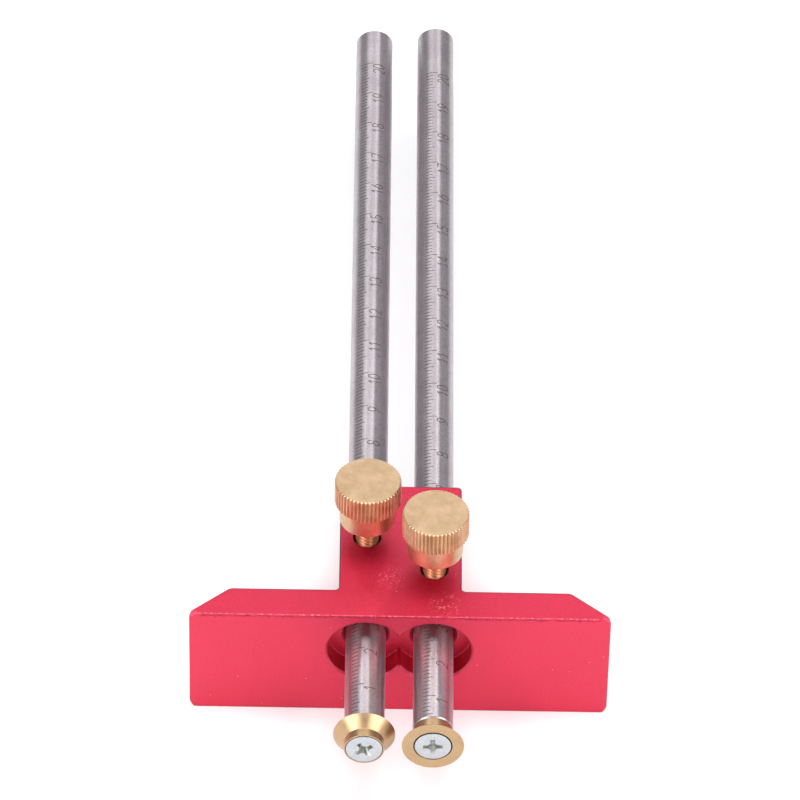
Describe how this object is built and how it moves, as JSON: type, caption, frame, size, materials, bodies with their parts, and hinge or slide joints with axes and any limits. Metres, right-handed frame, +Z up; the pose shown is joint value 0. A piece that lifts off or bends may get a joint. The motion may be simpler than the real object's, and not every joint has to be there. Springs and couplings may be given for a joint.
{
  "type": "marking gauge",
  "caption": "Marking gauge: graduated steel rods slide through a T-shaped red anodised fence, each with a bevelled cutting wheel on its end and a knurled brass thumbscrew to clamp it.",
  "frame": {"origin": "the fence's working face, midway between the two rods and level with their axes", "axes": "+X along the fence, +Y back along the rods away from the cutting wheels, +Z up towards the thumbscrews"},
  "size_m": [0.0838, 0.2166, 0.0424],
  "materials": {
    "anodised_aluminium": "bead-blasted, red anodised, satin",
    "rod_steel": "ground stainless steel with engraved graduations",
    "cutter_steel": "turned tool steel with a gold hard coat",
    "zinc_steel": "bright zinc plate",
    "brass": "turned brass with a straight knurl"
  },
  "bodies": {
    "head": {"head": "anodised_aluminium"},
    "rod_left": {"rod_left": "rod_steel", "wheel_screw_left": "zinc_steel"},
    "rod_right": {"rod_right": "rod_steel", "wheel_screw_right": "zinc_steel"},
    "wheel_left": {"cutter_wheel_left": "cutter_steel"},
    "wheel_right": {"cutter_wheel_right": "cutter_steel"},
    "thumbscrew_left": {"thumbscrew_left": "brass"},
    "thumbscrew_right": {"thumbscrew_right": "brass"}
  },
  "joints": [
    {"name": "rod_left_slide", "type": "slide", "parent": "head", "child": "rod_left", "axis": [0, -1, 0], "range_m": [-0.0276, 0.163]},
    {"name": "rod_right_slide", "type": "slide", "parent": "head", "child": "rod_right", "axis": [0, -1, 0], "range_m": [-0.029, 0.173]},
    {"name": "wheel_left_index", "type": "hinge", "parent": "rod_left", "child": "wheel_left", "pos_m": [-0.00675, -0.0249, 0], "axis": [0, -1, 0], "continuous": true},
    {"name": "wheel_right_index", "type": "hinge", "parent": "rod_right", "child": "wheel_right", "pos_m": [0.00675, -0.0238, 0], "axis": [0, -1, 0], "continuous": true},
    {"name": "thumbscrew_left_turn", "type": "hinge", "parent": "head", "child": "thumbscrew_left", "pos_m": [-0.00675, 0.0222, 0.0099], "axis": [0, 0, 1], "range_deg": [0, 2520]},
    {"name": "thumbscrew_right_turn", "type": "hinge", "parent": "head", "child": "thumbscrew_right", "pos_m": [0.00675, 0.0134, 0.0099], "axis": [0, 0, 1], "range_deg": [0, 2520]}
  ]
}
